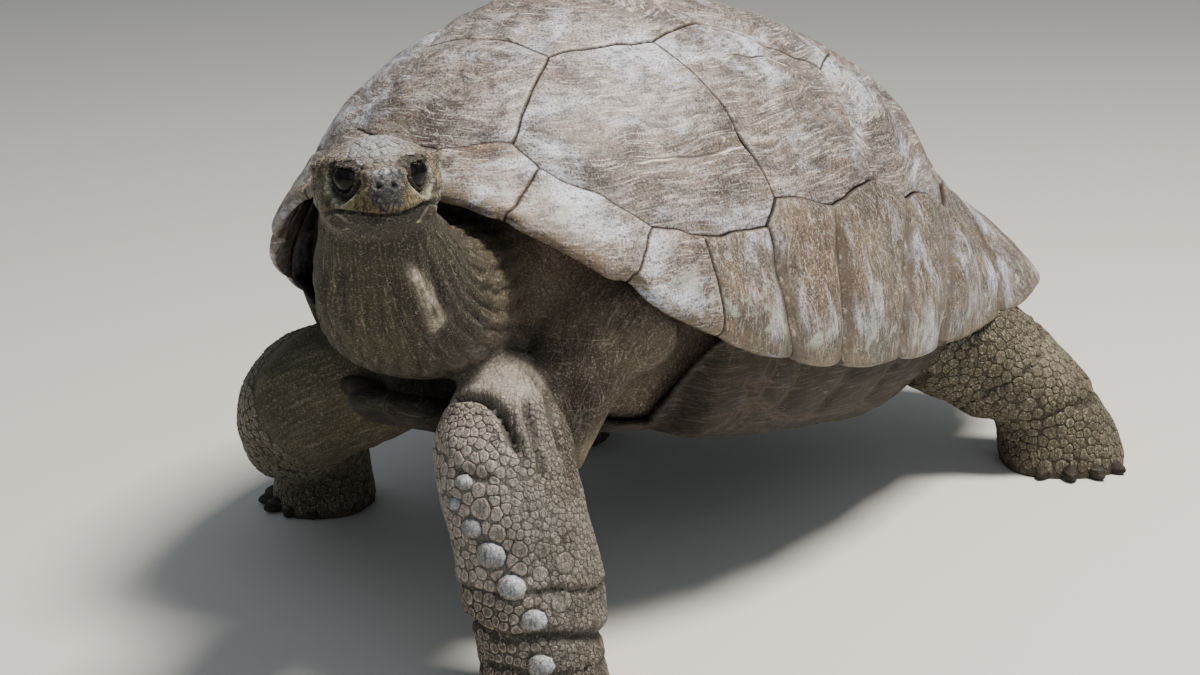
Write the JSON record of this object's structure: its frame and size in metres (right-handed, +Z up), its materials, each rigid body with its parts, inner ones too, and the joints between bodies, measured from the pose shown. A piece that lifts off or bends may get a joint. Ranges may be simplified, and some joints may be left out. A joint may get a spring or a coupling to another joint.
{
  "type": "giant tortoise",
  "caption": "Life-size still model of a large adult giant tortoise in mid-stride, with a domed plated shell, flared hind rim, raised neck and head turned to its left.",
  "frame": {"origin": "on the floor, under the middle of the whole animal's box", "axes": "the animal faces -Y, its left side is +X, +Z is up"},
  "size_m": [1.0852, 1.6533, 0.7691],
  "materials": {
    "shell_horn": "weathered grey-brown horn plates with a bluish sheen, fine scratches and dusty seams",
    "rim_horn": "weathered grey-brown horn with worn, paler edges and dark grooves",
    "belly": "dull brown horn, scraped",
    "skin": "dry, wrinkled olive-grey hide with horny scales on the limbs",
    "head_skin": "dry hide in small plates, grey crown and ochre cheeks",
    "eye": "wet, nearly black"
  },
  "bodies": {
    "root": {"vertebral_1": "shell_horn", "vertebral_2": "shell_horn", "vertebral_3": "shell_horn", "vertebral_4": "shell_horn", "vertebral_5": "shell_horn", "costal_left_1": "shell_horn", "costal_right_1": "shell_horn", "costal_left_2": "shell_horn", "costal_right_2": "shell_horn", "costal_left_3": "shell_horn", "costal_right_3": "shell_horn", "costal_left_4": "shell_horn", "costal_right_4": "shell_horn", "marginal_left_1": "rim_horn", "marginal_right_1": "rim_horn", "marginal_left_2": "rim_horn", "marginal_right_2": "rim_horn", "marginal_left_3": "rim_horn", "marginal_right_3": "rim_horn", "marginal_left_4": "rim_horn", "marginal_right_4": "rim_horn", "marginal_left_5": "rim_horn", "marginal_right_5": "rim_horn", "marginal_left_6": "rim_horn", "marginal_right_6": "rim_horn", "marginal_left_7": "rim_horn", "marginal_right_7": "rim_horn", "marginal_left_8": "rim_horn", "marginal_right_8": "rim_horn", "marginal_left_9": "rim_horn", "marginal_right_9": "rim_horn", "marginal_left_10": "rim_horn", "marginal_right_10": "rim_horn", "marginal_left_11": "rim_horn", "marginal_right_11": "rim_horn", "nuchal": "rim_horn", "supracaudal": "rim_horn", "plastron": "belly", "trunk": "skin", "foreleg_left": "skin", "foreleg_right": "skin", "hindleg_left": "skin", "hindleg_right": "skin", "head": "head_skin", "neck": "skin", "eye_left": "eye", "eye_right": "eye", "tail": "skin"}
  },
  "joints": []
}
